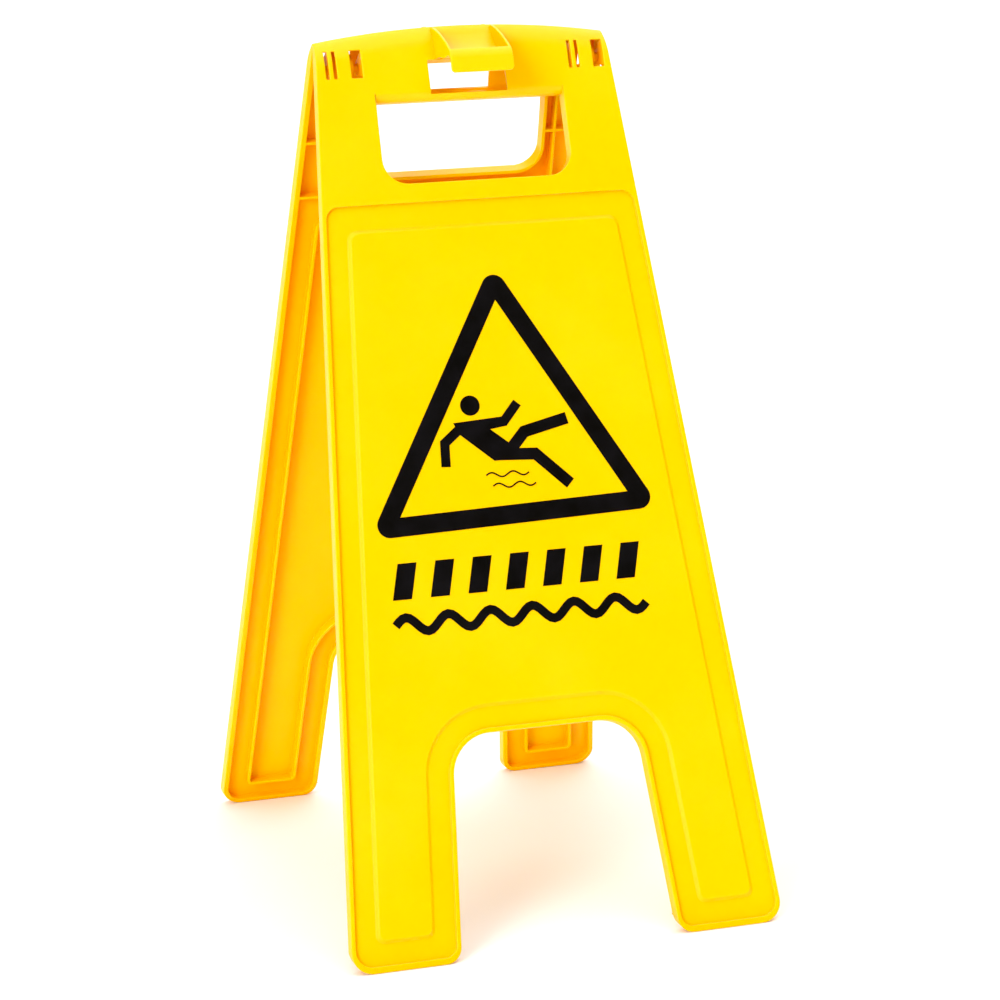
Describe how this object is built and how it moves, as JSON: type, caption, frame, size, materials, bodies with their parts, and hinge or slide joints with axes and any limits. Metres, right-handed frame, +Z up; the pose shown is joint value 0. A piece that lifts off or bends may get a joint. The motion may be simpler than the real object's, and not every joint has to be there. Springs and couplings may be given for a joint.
{
  "type": "folding wet floor sign",
  "caption": "Folding A-frame floor warning sign: identical moulded panels hinged at the top, with a hand grip, a rail hook and a printed slip warning.",
  "frame": {"origin": "centre of the footprint, on the floor", "axes": "+Z up; X across the panels, along the hinge; the front panel faces -Y and the rear panel faces +Y"},
  "size_m": [0.2976, 0.4124, 0.5941],
  "materials": {
    "panel": "satin yellow injection-moulded polypropylene",
    "hinge_pin": "satin yellow injection-moulded polypropylene",
    "print": "black screen-printed ink film"
  },
  "bodies": {
    "front": {"front_panel": "panel", "front_hinge_pin_outer": "hinge_pin", "front_hinge_pin_inner": "hinge_pin", "front_warning_triangle": "print", "front_slip_figure": "print", "front_water_lines": "print", "front_hazard_stripes": "print", "front_wave_band": "print"},
    "rear": {"rear_panel": "panel", "rear_hinge_pin_outer": "hinge_pin", "rear_hinge_pin_inner": "hinge_pin", "rear_warning_triangle": "print", "rear_slip_figure": "print", "rear_water_lines": "print", "rear_hazard_stripes": "print", "rear_wave_band": "print"}
  },
  "joints": [
    {"name": "fold", "type": "hinge", "parent": "front", "child": "rear", "pos_m": [0, 0, 0.56789], "axis": [-1, 0, 0], "range_deg": [0, 38]}
  ]
}
